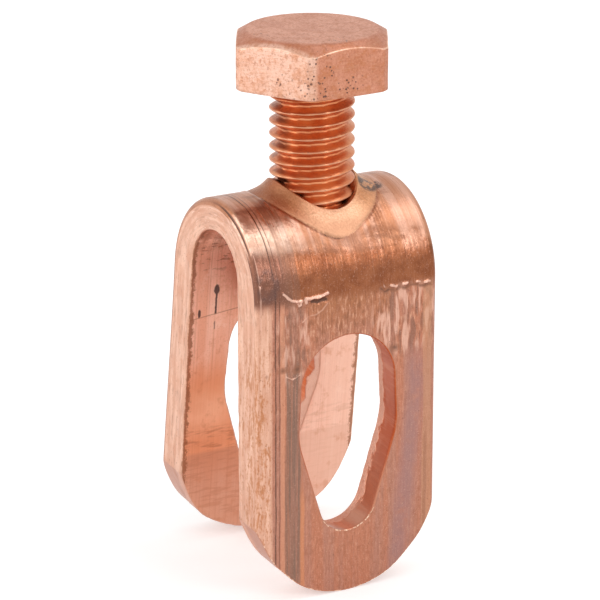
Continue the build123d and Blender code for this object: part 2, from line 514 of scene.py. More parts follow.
STEP = 0.45                 # between points on the outer face
INNER_STEP = 0.58
COLLAR_STEP = 0.2
MARK_STEP = 0.13
BORE_ANGLES = np.linspace(0, 2 * math.pi, 200, endpoint=False)
KEYHOLE_COUNT = 190
ROLL_STEP = 0.4             # between points along the rolled corners
ROLL_ROOM = 0.6             # and between them and the strip's ends
ROLL_ROWS = 7
ROLL_REACH = 1.35           # how far round its turn the last row of them lies, in radians
BORE_NUMBER = 3             # of the four outlines, the bore is the last
BORE_ROWS = 50
WALL_ROWS = 12
BORE_INNER_BREAK = 0.1
WALL_BREAK = 0.15           # where a wall meets the inner face
TEAR_SEED = 31
TEAR_DEPTH = 0.035
TEAR_FROM = 0.35            # part of the wall's depth that the punch cut before the rest tore
TEAR_TO = 0.9


def round_end(across, side):
    """Height of a leg's end on its round part. Its sides are a little cut in or full."""
    cut_in = END_CUT_IN[side] * np.exp(-((across - CUT_IN_AT) / CUT_IN_WIDTH)**2)
    return END_CENTRE - np.sqrt(END_RADIUS**2 - across**2) + cut_in


def end_height(y, side):
    """Height of a leg's end at each y: round in the middle, and nearly straight at its corners."""
    across = np.abs(y)
    low = round_end(CORNER_FROM, side)
    high = round_end(HALF_WIDTH, side)
    part = np.clip((across - CORNER_FROM) / (HALF_WIDTH - CORNER_FROM), 0, 1)
    straight = low + (high - low) * (part - CORNER_SAG * part * (1 - part))
    return np.where(across > CORNER_FROM, straight, round_end(across, side))


def end_line(sheet, side, lift, flat_limit, to_flat):
    """A leg's sheared end from y = +limit to -limit, as flat (s, across) points."""
    middle = np.linspace(-1, 1, 75) * math.asin(FLAT_HALF / END_RADIUS)
    plain = END_RADIUS * np.sin(middle)
    rolled = FLAT_HALF + EDGE_ROUND * np.sin(np.linspace(0, math.pi / 2, 9)[1:])
    y = np.concatenate([-rolled[::-1], plain, rolled])[::-1] * side
    s = sheet.leg_s(side, end_height(y, side) + lift)
    across = to_flat(np.clip(y, -flat_limit, flat_limit))
    return np.stack([s, across], 1)


def edge_s(sheet, side, lift):
    """s along one long edge, from the leg's corner to the middle of the crown."""
    corner = float(sheet.leg_s(side, end_height(HALF_WIDTH, side) + lift))
    turn = sheet.turn_right if side > 0 else sheet.turn_left
    tangent = side * turn * (sheet.right if side > 0 else sheet.left)
    leg = np.linspace(corner, tangent, 80)[1:]
    bend = np.linspace(tangent, 0, 50)[1:]
    return np.concatenate([leg, bend])


def mouth_break():
    """How far the bore's mouth is broken away at each angle."""
    turn = (BORE_ANGLES - MOUTH_WORN_AT + math.pi) % (2 * math.pi) - math.pi
    return MOUTH_BREAK + MOUTH_WORN * np.exp(-(turn / MOUTH_WORN_WIDTH)**2)


def rim_outline(sheet, lift, across, to_flat, limit):
    """The outer outline: right end, back edge, left end, front edge, as flat points."""
    right = end_line(sheet, 1, lift, limit, to_flat)
    left = end_line(sheet, -1, lift, limit, to_flat)
    up = edge_s(sheet, 1, lift)
    down = edge_s(sheet, -1, lift)[::-1][1:]
    along = np.concatenate([up, down])
    front = np.stack([along, np.full(len(along), -across)], 1)
    back = np.stack([along[::-1], np.full(len(along), across)], 1)
    return np.vstack([right, front, left, back])[::-1]


def hole_outline(sheet, radius):
    """The bore's outline on a sheet, as flat (s, y) points."""
    x = radius * np.cos(BORE_ANGLES)
    bend = np.where(x >= 0, sheet.right, sheet.left)
    s = bend * np.arcsin(x / bend)
    return np.stack([s, HOLE_Y + radius * np.sin(BORE_ANGLES)], 1)


def keyhole_outline(sheet, side, grow):
    """One leg's opening as flat (s, y) points."""
    loop = grown(keyhole(KEYHOLE_COUNT), grow)[::side]
    s = sheet.leg_s(side, loop[:, 1])
    return np.stack([s, loop[:, 0]], 1)


def plain_flat(y):
    """The inner face has no rolled corners, so its flat distance is y itself."""
    return np.asarray(y, float)


def wall_rows(inset_out, nominal_out, nominal_in, inset_in, rows, break_out, break_in):
    """Rows from an outer outline to an inner one, with small breaks at both edges."""
    depth = np.maximum(np.linalg.norm(nominal_in - nominal_out, axis=1), 1e-6)[:, None]
    start = nominal_out + (nominal_in - nominal_out) * np.reshape(break_out, (-1, 1)) / depth
    end = nominal_in + (nominal_out - nominal_in) * break_in / depth
    made = []
    for t in (0.3, 0.65):
        made.append((1 - t)**2 * inset_out + 2 * t * (1 - t) * nominal_out + t * t * start)
    for t in np.linspace(0, 1, rows):
        made.append(start * (1 - t) + end * t)
    for t in (0.35, 0.7):
        made.append((1 - t)**2 * end + 2 * t * (1 - t) * nominal_in + t * t * inset_in)
    return made


class Shell:
    """Collects points, faces, material numbers and strip coordinates for one mesh."""

    def __init__(self):
        self.points = []
        self.flat = []
        self.marks = []
        self.faces = []
        self.kinds = []
        self.count = 0

    def add(self, points, flat, marks=0.0):
        """Adds points with their (s, y, depth) and mark height, and returns the first one's number."""
        first = self.count
        self.points.append(points)
        self.flat.append(flat)
        self.marks.append(np.broadcast_to(marks, len(points)))
        self.count += len(points)
        return first

    def triangles(self, faces, kind):
        """Adds faces of one material."""
        self.faces += [tuple(int(v) for v in f) for f in faces]
        self.kinds += [kind] * len(faces)

    def band(self, upper, lower, kind, flip):
        """Joins two closed rings of point numbers."""
        count = len(upper)
        kinds = np.broadcast_to(kind, count)
        for i in range(count):
            j = (i + 1) % count
            quad = (upper[i], upper[j], lower[j], lower[i])
            self.faces.append(quad[::-1] if flip else quad)
            self.kinds.append(int(kinds[i]))

    def cap(self, ring, z, kind, flip):
        """Closes a ring round the bolt's axis with a fan of triangles."""
        centre = self.add(np.array([[0.0, HOLE_Y, z]]), np.array([[0.0, z - HEAD_Z, 0.0]]))
        for i in range(len(ring)):
            triangle = (ring[i], ring[(i + 1) % len(ring)], centre)
            self.faces.append(triangle[::-1] if flip else triangle)
            self.kinds.append(kind)


FACE, SHEARED, COLLAR, EDGE, INNER_FACE = range(5)


# Marked regions of the straight leg, as (lowest y, highest y, lowest height, highest height)
MARKED = ((-11, -2.2, 22, 28.6), (3.6, 10.8, 16.5, 26), (-9.8, -5, 15.6, 22))


def fine_boxes():
    """Where the outer face needs closer points, as (low corner, high corner, step)."""
    collar = (np.array((-8.6, -7.9)), np.array((8.6, 9.3)), COLLAR_STEP)
    shoulder = (np.array((7.0, -11.0)), np.array((12.5, 9.5)), COLLAR_STEP)
    boxes = [collar, shoulder]
    for y_low, y_high, h_low, h_high in MARKED:
        low = np.array((float(OUTER.leg_s(1, h_high)), y_low))
        high = np.array((float(OUTER.leg_s(1, h_low)), y_high))
        boxes.append((low, high, MARK_STEP))
    return boxes


def outlines(sheet, to_flat, across, limit, inset, lift, taper, bore):
    """A face's four outlines: its rim, the right and the left opening, and the bore."""
    loops = [rim_outline(sheet, lift + inset, across, to_flat, limit)]
    loops += [keyhole_outline(sheet, side, taper[side] + inset) for side in (1, -1)]
    return loops + [hole_outline(sheet, bore)]


def roll_points(rim):
    """Extra points along the rolled corners of the outer face."""
    along = np.arange(rim[:, 0].min() + ROLL_ROOM, rim[:, 0].max() - ROLL_ROOM, ROLL_STEP)
    rows = []
    for across in FLAT_HALF + EDGE_ROUND * np.linspace(0.0, ROLL_REACH, ROLL_ROWS):
        for sign in (1, -1):
            rows.append(np.stack([along, np.full(len(along), sign * across)], 1))
    return np.vstack(rows)


def add_outer(shell, loops):
    """Adds the outer face, and returns the numbers of its outlines' points."""
    points, faces, order = filled(loops[0], loops[1:], STEP, fine_boxes(), roll_points(loops[0]))
    s, y = points.T
    flat = np.stack([s, y, np.zeros(len(points))], 1)
    first = shell.add(outer_point(s, y), flat, tool_marks(s, y))
    centre = points[faces].mean(1)
    in_crease = crease_distance(centre[:, 0], centre[:, 1]) < 0
    on_collar = in_crease & (np.abs(centre[:, 0]) < COLLAR_REACH)
    shell.triangles(faces[~on_collar] + first, FACE)
    shell.triangles(faces[on_collar] + first, COLLAR)
    return order + first


def add_inner(shell, loops):
    """Adds the inner face, and returns the numbers of its outlines' points."""
    points, faces, order = filled(loops[0], loops[1:], INNER_STEP, [], np.zeros((0, 2)))
    s, y = points.T
    flat = np.stack([s, y, np.full(len(points), THICKNESS)], 1)
    first = shell.add(inner_point(s, y), flat)
    shell.triangles(faces[:, ::-1] + first, INNER_FACE)
    return order + first


def add_wall(shell, number, rows, flat, kind, upper, lower):
    """Adds one outline's wall between the two faces."""
    flip = number == 0
    previous = upper
    for i, row in enumerate(rows):
        depth = THICKNESS * (i + 1) / (len(rows) + 1)
        first = shell.add(row, np.column_stack([flat, np.full(len(flat), depth)]))
        ring = np.arange(first, first + len(flat))
        shell.band(previous, ring, kind, flip)
        previous = ring
    shell.band(previous, lower, kind, flip)


def clamp_mesh():
    """The strip as one closed shell."""
    plain = {1: 0.0, -1: 0.0}
    limit = HALF_WIDTH - INNER_BREAK
    mouth = mouth_break()
    outer = (OUTER, unroll, ROLL_HALF, HALF_WIDTH)
    outer_loops = outlines(*outer, SHEAR_BREAK, 0.0, plain, BORE + mouth)
    outer_true = outlines(*outer, 0.0, 0.0, plain, BORE)
    tapers = (SHEAR_TAPER, PUNCH_TAPER)
    inner_loops = outlines(
        INNER, plain_flat, limit, limit, SHEAR_BREAK, *tapers, BORE + BORE_INNER_BREAK
    )
    inner_true = outlines(INNER, plain_flat, HALF_WIDTH, HALF_WIDTH, 0.0, *tapers, BORE)
    shell = Shell()
    outer_order = add_outer(shell, outer_loops)
    inner_order = add_inner(shell, inner_loops)
    outer_at = 0
    inner_at = 0
    for number in range(4):
        count = len(outer_loops[number])
        upper = outer_order[outer_at:outer_at + count]
        lower = inner_order[inner_at:inner_at + count]
        outer_at += count
        inner_at += count
        ends = (
            outer_point(*outer_loops[number].T),
            outer_point(*outer_true[number].T),
            inner_point(*inner_true[number].T),
            inner_point(*inner_loops[number].T),
        )
        if number == BORE_NUMBER:
            rows = wall_rows(*ends, BORE_ROWS, mouth, WALL_BREAK)
            rows = [threaded(row) for row in rows]
            kind = COLLAR
        else:
            rows = wall_rows(*ends, WALL_ROWS, SHEAR_BREAK, WALL_BREAK)
            rows = [torn(row, i / len(rows), TEAR_SEED + number) for i, row in enumerate(rows)]
            long_edge = np.abs(ends[2][:, 1]) > HALF_WIDTH - 0.01
            kind = np.where(long_edge, EDGE, SHEARED)
        add_wall(shell, number, rows, outer_true[number], kind, upper, lower)
    return shell


def torn(row, fraction, seed):
    """A sheared wall's row: smooth where it was cut, ragged where it tore."""
    rough = TEAR_DEPTH * float(np.clip((fraction - TEAR_FROM) / 0.2, 0, 1)) * (fraction < TEAR_TO)
    noise = np.random.default_rng(seed + int(fraction * 100)).normal(0, 1, (len(row), 1))
    noise = (noise + np.roll(noise, 1, 0) + np.roll(noise, -1, 0)) / 3
    tangent = np.roll(row, -1, 0) - np.roll(row, 1, 0)
    tangent /= np.maximum(np.linalg.norm(tangent, axis=1), 1e-9)[:, None]
    out = np.cross(tangent, np.array([1.0, 0.0, 0.0]))
    return row + out * noise * rough


def thread_radius(angle, z):
    """Radius of the bolt's right-hand thread."""
    phase = ((z - THREAD_START) / PITCH - angle / (2 * math.pi)) % 1.0
    rise = np.clip((np.abs(2 * phase - 1) - THREAD_ROOT) / THREAD_FLANK, 0, 1)
    rise = rise * 0.5 + 0.5 * rise * rise * (3 - 2 * rise)
    return BOLT_RADIUS - THREAD_DEPTH * (1 - rise)


def threaded(row):
    """The bore's wall cut with the thread that the bolt runs in."""
    angle = np.arctan2(row[:, 1] - HOLE_Y, row[:, 0])
    radius = np.hypot(row[:, 0], row[:, 1] - HOLE_Y)
    cut = thread_radius(angle, row[:, 2] - HEAD_Z) + THREAD_CLEARANCE
    cut = np.maximum(cut, BORE - BORE_THREAD_DEPTH)
    on_wall = radius <= BORE + 0.01
    radius = np.where(on_wall, np.minimum(cut, radius), radius)
    return np.stack([radius * np.cos(angle), HOLE_Y + radius * np.sin(angle), row[:, 2]], 1)


# ---------------------------------------------------------------- bolt

COLUMNS_PER_SIDE = 32
CORNER_DEGREES = (0, 0.25, 0.55, 0.9, 1.35, 1.9, 2.6, 3.5)
REST_FROM = 4.8             # degrees from a corner at which the even spacing starts
TIP_RADII = (0.6, 1.4, 2.3, 3.1, 3.6)
TIP_EDGE_RADIUS = 3.9
TIP_SLOPE = 1.05            # of the chamfer at the tip
RINGS_PER_PITCH = 15
RUNOUT_AT = -0.75           # the thread has run out here, below the head
RUNOUT_LENGTH = 0.9
BLANK_RADIUS = BOLT_RADIUS - THREAD_DEPTH * 0.75    # of the plain neck under the head
# Rings of the neck, as (z, how much wider than the blank)
NECK = ((-0.62, 0.0), (-0.42, 0.05), (-0.22, 0.25), (-0.1, 0.55))
CORNER_ROUNDING = 0.22      # of the head's six upright edges
UNDER_RADIUS = HEAD_FLATS / 2 - 0.35
UNDER_BREAK = 0.22          # height of the rounding at the head's lower edge
# Its rings, as (part of the way out from the underside's flat circle, z)
UNDER_EDGE = ((0.5, 0.0), (0.86, 0.015), (0.95, 0.08), (1.0, UNDER_BREAK))
BROW_BREAK = 0.08           # where the side starts to round over to the chamfer
# Rings of the worn brow, as (how far in from the side, above the brow)
BROW = ((0.015, -0.025), (0.06, 0.02))
CHAMFER_INSET = 0.11
DENT_DEPTH = 0.035
DENT_SEED = 41


def column_angles():
    """Angles round the bolt, closer together at the head's corners."""
    fine = np.radians(np.array(CORNER_DEGREES))
    count = COLUMNS_PER_SIDE - 2 * len(CORNER_DEGREES) + 1
    rest = np.radians(np.linspace(REST_FROM, 60 - REST_FROM, count))
    sector = np.concatenate([fine, rest, SIXTH - fine[1:][::-1]])
    return np.concatenate([sector + SIXTH * k for k in range(6)]) + HEAD_TURN


def hex_radius(angle):
    """Radius of the head's hexagon, with its slightly rounded corners."""
    local = (angle - HEAD_TURN) % SIXTH - SIXTH / 2
    flat = HEAD_FLATS / 2 / np.cos(local)
    near = SIXTH / 2 - np.abs(local)
    return flat - CORNER_ROUNDING * np.exp(-(near / math.radians(1.6))**2)


def shank_rings(angle):
    """Rings of the tip, thread and neck, as (radius, z)."""
    tip = -BOLT_LENGTH
    rings = [(radius, tip) for radius in TIP_RADII]
    for z in np.arange(tip + 0.02, -0.7, PITCH / RINGS_PER_PITCH):
        taper = TIP_EDGE_RADIUS + (z - tip) * TIP_SLOPE
        cut_part = np.clip((RUNOUT_AT - z) / RUNOUT_LENGTH, 0, 1)
        cut = thread_radius(angle, z) * cut_part + BLANK_RADIUS * (1 - cut_part)
        rings.append((np.minimum(cut, taper), z))
    return rings + [(BLANK_RADIUS + wider, z) for z, wider in NECK]


def head_rings(angle):
    """Rings of the head from its underside to its top, as (radius, z), and which are its brow."""
    side = hex_radius(angle)
    rings = [(radius, 0.0) for radius in np.linspace(BLANK_RADIUS + 1.1, UNDER_RADIUS, 9)]
    corner = np.maximum(side - UNDER_RADIUS, 0)
    rings += [(UNDER_RADIUS + corner * part, z) for part, z in UNDER_EDGE]
    brow = HEAD_HEIGHT - np.maximum(side - HEAD_TOP_RADIUS, 0) * HEAD_CHAMFER
    for part in np.linspace(0.05, 1.0, 14):
        rings.append((side, UNDER_BREAK + (brow - UNDER_BREAK - BROW_BREAK) * part))
    first = len(rings)
    rings += [(side - inward, brow + above) for inward, above in BROW]
    brow_rings = range(first, len(rings))
    for part in np.linspace(0, 1, 9)[1:]:
        radius = (side - CHAMFER_INSET) * (1 - part) + (HEAD_TOP_RADIUS + 0.15) * part
        rings.append((radius, HEAD_HEIGHT - (radius - HEAD_TOP_RADIUS) * HEAD_CHAMFER))
    rings.append((HEAD_TOP_RADIUS - 0.2, HEAD_HEIGHT - 0.01))
    top_radii = np.linspace(HEAD_TOP_RADIUS - 0.5, 0.4, 24)
    return rings + [(radius, HEAD_HEIGHT) for radius in top_radii], brow_rings


def bolt_mesh():
    """Thread, head and tip as one closed shell turned about the bolt's axis."""
    angle = column_angles()
    count = len(angle)
    shank = shank_rings(angle)
    head, brow_rings = head_rings(angle)
    shell = Shell()
    rings = []
    for number, (radius, z) in enumerate(shank + head):
        radius = np.broadcast_to(radius, count).astype(float)
        z = np.broadcast_to(z, count).astype(float)
        x = radius * np.cos(angle)
        y = radius * np.sin(angle)
        on_head = (z > 0.05).astype(float)
        dent = on_head * np.abs(
            DENT_DEPTH * value_noise(x / 2.3 + 9, y / 2.3 + z / 2.1, DENT_SEED)
        )
        shrink = 1 - dent / 9
        lowered = z - dent * (radius < HEAD_TOP_RADIUS)
        points = np.stack([x * shrink, HOLE_Y + y * shrink, HEAD_Z + lowered], 1)
        on_brow = float(number - len(shank) in brow_rings)
        first = shell.add(points, np.stack([angle * 5, z, radius], 1), on_brow)
        rings.append(np.arange(first, first + count))
        if number:
            kind = int(z.mean() > -0.3)
            shell.band(rings[-2], rings[-1], kind, False)
    shell.cap(rings[0], HEAD_Z - BOLT_LENGTH, 0, True)
    shell.cap(rings[-1], HEAD_Z + HEAD_HEIGHT - 0.01, 1, False)
    return shell


def mesh_object(name, shell, materials):
    """Turns a shell into a smooth-shaded Blender object in metres."""
    points = np.vstack(shell.points) * MM
    mesh = bpy.data.meshes.new(name)
    mesh.from_pydata([tuple(p) for p in points], [], [tuple(int(v) for v in f) for f in shell.faces])
    for material in materials:
        mesh.materials.append(material)
    mesh.polygons.foreach_set("material_index", np.array(shell.kinds, dtype=np.int32))
    mesh.polygons.foreach_set("use_smooth", np.ones(len(shell.faces), dtype=bool))
    layer = mesh.attributes.new("strip", "FLOAT_VECTOR", "POINT")
    layer.data.foreach_set("vector", np.vstack(shell.flat).astype(np.float32).ravel())
    layer = mesh.attributes.new("mark", "FLOAT", "POINT")
    layer.data.foreach_set("value", np.concatenate(shell.marks).astype(np.float32))
    mesh.validate()
    mesh.update()
    mesh.set_sharp_from_angle(angle=SHARP_ANGLE)
    thing = bpy.data.objects.new(name, mesh)
    bpy.context.scene.collection.objects.link(thing)
    return thing


# ---------------------------------------------------------------- materials

def new_node(tree, kind, inputs=(), **settings):
    """A new node with its settings, and with numbers or links for its inputs."""
    node = tree.nodes.new("ShaderNode" + kind)
    for name, setting in settings.items():
        setattr(node, name, setting)
    for name, value in dict(inputs).items():
        feed(tree, node.inputs[name], value)
    return node


def feed(tree, socket, value):
    """Links a socket to another one, or sets it to a plain number or colour."""
    if isinstance(value, bpy.types.NodeSocket):
        tree.links.new(value, socket)
    else:
        socket.default_value = value


class Value:
    """What a node works out at each point of a surface, for use in plain sums."""

    def __init__(self, graph, socket):
        self.graph = graph
        self.socket = socket

    def __add__(self, other):
        return self.graph.math("ADD", self, other)

    def __sub__(self, other):
        return self.graph.math("SUBTRACT", self, other)

    def __rsub__(self, other):
        return self.graph.math("SUBTRACT", other, self)

    def __mul__(self, other):
        return self.graph.math("MULTIPLY", self, other)

    def __truediv__(self, other):
        return self.graph.math("DIVIDE", self, other)

    def __abs__(self):
        return self.graph.math("ABSOLUTE", self)


def socket_of(value):
    """A value's socket. A plain number or colour stays as it is."""
    return value.socket if isinstance(value, Value) else value


class Graph:
    """A metal's node tree, built one call at a time over one running colour.

    Masks are values from 0 to 1. They are multiplied together, and by a plain strength.
    """

    def __init__(self, name):
        self.material = bpy.data.materials.new(name)
        self.material.use_nodes = True
        self.tree = self.material.node_tree
        self.tree.nodes.clear()
        self.colour = None
        self.shader = self.node("BsdfPrincipled")
        self.node("OutputMaterial", {0: self.shader.outputs[0]})

    def node(self, kind, inputs=(), **settings):
        """A new node, fed with values."""
        plain = {name: socket_of(value) for name, value in dict(inputs).items()}
        return new_node(self.tree, kind, plain, **settings)

    def feed(self, socket, value):
        """Links a socket to a value's own, or sets it to a plain number."""
        feed(self.tree, socket, socket_of(value))

    def math(self, operation, a, b=0.0):
        """One step of arithmetic."""
        node = self.node("Math", enumerate((a, b)), operation=operation)
        return Value(self, node.outputs[0])

    def larger(self, a, b):
        """The larger of two values."""
        return self.math("MAXIMUM", a, b)

    def split(self, vector):
        """A vector's three parts."""
        node = self.node("SeparateXYZ", {0: vector})
        return [Value(self, socket) for socket in node.outputs]

    def strip(self):
        """The mesh's own (s, y, depth), in millimetres."""
        node = self.node("Attribute", attribute_name="strip")
        return self.split(Value(self, node.outputs["Vector"]))

    def mark(self):
        """The mesh's own mark: the height of the tool marks, in millimetres, or 1 on the head's brow,
        where a highlight is painted.
        """
        node = self.node("Attribute", attribute_name="mark")
        return Value(self, node.outputs["Fac"])

    def place(self):
        """Position on the object, in millimetres."""
        here = Value(self, self.node("TexCoord").outputs["Object"])
        node = self.node("VectorMath", {0: here, "Scale": 1 / MM}, operation="SCALE")
        return Value(self, node.outputs[0])

    def combine(self, x, y, z):
        """A vector from three values."""
        return Value(self, self.node("CombineXYZ", enumerate((x, y, z))).outputs[0])

    def noise(self, vector, scale, detail=4.0, roughness=0.55):
        """Plain noise, about 0.5."""
        inputs = {"Vector": vector, "Scale": scale, "Detail": detail, "Roughness": roughness}
        return Value(self, self.node("TexNoise", inputs).outputs["Fac"])

    def cells(self, vector, scale):
        """The distance to the nearest of many scattered points."""
        node = self.node("TexVoronoi", {"Vector": vector, "Scale": scale})
        return Value(self, node.outputs["Distance"])

    def streaks(self, s, y, along, across, seed, detail=3.0):
        """Noise drawn out along the strip."""
        return self.noise(self.combine(s * along, y * across, seed), 1.0, detail)

    def ramp(self, value, low, high, start=0.0, end=1.0):
        """A smooth step from start at low to end at high."""
        limits = {"From Min": low, "From Max": high, "To Min": start, "To Max": end}
        inputs = {"Value": value, **limits}
        node = self.node("MapRange", inputs, interpolation_type="SMOOTHSTEP")
        return Value(self, node.outputs["Result"])

    def mix(self, factor, a, b):
        """Colour a where the factor is 0, and b where it is 1."""
        node = self.node("Mix", data_type="RGBA")
        self.feed(node.inputs["Factor"], factor)
        for name, value in (("A", a), ("B", b)):
            socket = [i for i in node.inputs if i.name == name and i.type == "RGBA"][0]
            self.feed(socket, value if isinstance(value, Value) else (*value, 1.0))
        return Value(self, [o for o in node.outputs if o.type == "RGBA"][0])

    def paint(self, shade, mask):
        """Lays a shade over the running colour."""
        self.colour = self.mix(mask, self.colour, shade)

    def line(self, value, centre, half, soft):
        """1 on a narrow line at centre, fading over soft."""
        return self.ramp(abs(value - centre), half, half + soft, 1.0, 0.0)

    def between(self, value, low, high, soft):
        """1 between two values, fading over soft outside them."""
        return self.ramp(value, low - soft, low) * self.ramp(value, high, high + soft, 1.0, 0.0)

    def spot(self, u, v, u0, v0, half_u, half_v):
        """1 inside an ellipse, fading just outside it."""
        du = (u - u0) / half_u
        dv = (v - v0) / half_v
        return self.ramp(du * du + dv * dv, 0.7, 1.6, 1.0, 0.0)

    def bumps(self, *layers):
        """Sets the shader's normal from (height, strength, distance in mm) layers."""
        normal = None
        for height, strength, distance in layers:
            inputs = {"Strength": strength, "Distance": distance * MM, "Height": height}
            node = self.node("Bump", inputs)
            if normal is not None:
                self.feed(node.inputs["Normal"], normal)
            normal = Value(self, node.outputs[0])
        self.feed(self.shader.inputs["Normal"], normal)

    def metal(self, roughness):
        """Finishes the shader with the running colour."""
        self.shader.inputs["Metallic"].default_value = 1.0
        self.feed(self.shader.inputs["Base Color"], self.colour)
        self.feed(self.shader.inputs["Roughness"], roughness)


# Colours in linear light: those that several surfaces share, then each surface's own, in the
# order in which the functions below use them
PALE = (0.72, 0.43, 0.33)
PINK = (0.62, 0.335, 0.235)
ROSE = (0.48, 0.19, 0.115)
ORANGE = (0.58, 0.235, 0.12)
BROWN = (0.29, 0.125, 0.075)
SATIN_AND_SHADE = (0.225, 0.072, 0.032)
DARK = (0.085, 0.045, 0.035)
TARNISH = (0.20, 0.125, 0.095)
VIOLET = (0.34, 0.19, 0.18)
GOLD = (0.62, 0.30, 0.15)
STAIN = (0.49, 0.175, 0.055)
CROWN_BAND = (0.5, 0.215, 0.115)
CROWN_MOTTLE = (0.27, 0.1, 0.05)
LEG_BAND = (0.44, 0.2, 0.14)
UNDER_LIP = (0.38, 0.15, 0.07)
SCUFF_DARK = (0.24, 0.1, 0.055)
SCUFF_PALE = (0.66, 0.35, 0.23)
BLOTCH = (0.34, 0.125, 0.07)
TONGUE_PALE = (0.7, 0.4, 0.3)
TONGUE_DARK = (0.25, 0.12, 0.085)
CROWN_GLEAM = (0.95, 0.68, 0.54)
SATIN_AND_SHADE_PALE = (0.3, 0.105, 0.048)
SATIN_AND_SHADE_END = (0.19, 0.085, 0.06)
UMBER = (0.36, 0.15, 0.09)
BAND_MIDDLE = (0.62, 0.29, 0.18)
SIDE_BAND = (0.52, 0.27, 0.16)
BURNT = (0.13, 0.07, 0.06)
GLINT = (0.8, 0.5, 0.38)
SMUDGE = (0.09, 0.065, 0.06)
RIDGE = (0.8, 0.49, 0.38)
EDGE_PALE = (0.8, 0.49, 0.36)
EDGE_BAND = (0.66, 0.36, 0.25)
EDGE_WORN = (0.42, 0.22, 0.15)
INNER_PALE = (0.9, 0.53, 0.4)
INNER_BAND = (0.82, 0.42, 0.29)
INNER_LINE = (0.5, 0.24, 0.15)
INNER_CLOUD = (0.96, 0.66, 0.53)
INNER_DUST = (0.48, 0.21, 0.13)
GLOW = (0.78, 0.33, 0.165)
INNER_HIGHLIGHT = (0.96, 0.58, 0.39)
RUB = (0.5, 0.2, 0.105)
INNER_END = (0.6, 0.28, 0.175)
INNER_BACK = (0.88, 0.57, 0.45)
INK = (0.07, 0.045, 0.045)
INNER_BURR = (0.31, 0.125, 0.065)
EDGE_CLOUD = (0.62, 0.3, 0.19)
SCRATCH = (0.86, 0.6, 0.48)
BURR = (0.34, 0.145, 0.075)
CUT_LOW = (0.52, 0.225, 0.14)
CUT_HIGH = (0.44, 0.095, 0.03)
DRAG = (0.6, 0.26, 0.15)
TORN = (0.68, 0.38, 0.28)
RIM_SHADE = (0.38, 0.18, 0.12)
CRUMB = (0.92, 0.66, 0.48)
COLLAR_DARK = (0.5, 0.22, 0.105)
GRIT_PALE = (0.8, 0.45, 0.27)
COLLAR_LIT = (0.9, 0.56, 0.37)
COLLAR_SHADE = (0.33, 0.115, 0.055)
COLLAR_EDGE = (0.6, 0.29, 0.17)
CREASE_SHADE = (0.18, 0.08, 0.045)
ROOT = (0.66, 0.235, 0.1)
ROOT_DARK = (0.58, 0.19, 0.085)
ROOT_PALE = (0.74, 0.34, 0.17)
ROOT_SHADE = (0.26, 0.085, 0.045)
CREST = (0.62, 0.34, 0.22)
HEAD_PINK = (0.58, 0.255, 0.165)
HEAD_BROWN = (0.5, 0.195, 0.11)
LIT_FLAT_PALE = (0.8, 0.5, 0.385)
LIT_FLAT_BAND = (0.73, 0.41, 0.29)
FLECK = (0.46, 0.17, 0.08)
HEAD_TOP = (0.68, 0.33, 0.22)
HEAD_GRAIN = (0.8, 0.48, 0.35)
RUST = (0.5, 0.19, 0.085)
PIT = (0.1, 0.06, 0.055)
BRUSHED = (0.56, 0.27, 0.17)
NICK = (0.16, 0.08, 0.06)
BROW_HIGHLIGHT = (0.96, 0.66, 0.49)

# Where the marks lie. RIGHT_SEAT_S and LEFT_SEAT_S are s at the two openings' seats, a place
# across the strip is a y, and a spot is (y, height on the leg, half width, half height).
RIGHT_SEAT_S = float(OUTER.leg_s(1, 0.0))
LEFT_SEAT_S = float(INNER.leg_s(-1, 0.0))
FRONT_LINE = -9.45
SECOND_LINE = -8.95
MIDDLE_LINE = -8.55
ORANGE_LINE = -6.0
TARNISH_BAND = (-8.1, -6.4)
VIOLET_LINE = 8.9
SIDE_EDGES = (10.0, 10.9)
SIDE_LINE = 10.25
FRONT_STRIP = (-9.7, -10.2)
PALE_TONGUES = ((7.4, 21.3, 3.9, 4.4), (-7.2, 20.2, 2.0, 4.6))
BURNT_SPOT = (-10.3, 27.4, 1.4, 1.8)
SMUDGE_SPOT = (7.1, 2.3, 1.3, 1.0)          # as (y, s, half width, half height)
COLLAR_SMUDGE = (6.4, 2.6, 1.2, 1.0)
DRIP_LINE = -8.05
DRIP_SPOTS = ((-8.05, 22.0, 0.32, 0.6), (-10.2, 19.2, 0.2, 0.5))
DRIP_TAIL = -8.1
SCRATCH_HEIGHT = 19.7
# Colours for the tool marks, pale on burnished ridges and painted shade in hollows: (colour, mark
# height at which it starts, at which it is full, strength)
MARK_BURNISH_AND_HOLLOW_SHADE = ((RIDGE, 0.035, 0.1, 0.8), (BROWN, -0.02, -0.07, 0.6), (DARK, -0.07, -0.13, 0.85))
# Groups of pits on the head's right flat: the spot round its front corner, and how many
PIT_GROUPS = (
    ((1.6, 2.6, 1.4, 3.0), 1.0),
    ((4.9, 1.4, 1.7, 1.1), 1.0),
    ((-0.9, 1.0, 1.6, 1.2), 0.8),
)


def edge_look(g, s, y, depth):
    """Colour of the long edges and of the rolled corners beside them: pale, and stained low down."""
    across = depth + abs(y) - ROLL_HALF
    drawn = g.streaks(s, across, 0.16, 1.9, 31.0, 7.0)
    worn = g.streaks(s, across, 0.5, 2.4, 33.0, 8.0)
    crumbs = g.streaks(s, across, 2.6, 4.2, 35.0, 6.0)
    edge = g.mix(g.ramp(drawn, 0.36, 0.6), EDGE_PALE, EDGE_BAND)
    edge = g.mix(g.ramp(worn, 0.53, 0.66) * 0.55, edge, EDGE_WORN)
    low = g.ramp(s, 16.0, 27.0)
    outer = g.between(across, -0.6, 1.5, 1.6)
    stained = worn * 0.6 + crumbs * 0.4 + outer * 0.06
    edge = g.mix(g.ramp(stained, 0.51, 0.62) * low * 0.7, edge, STAIN)
    return g.mix(g.ramp(crumbs, 0.6, 0.7, 0.0, 0.6), edge, BROWN)


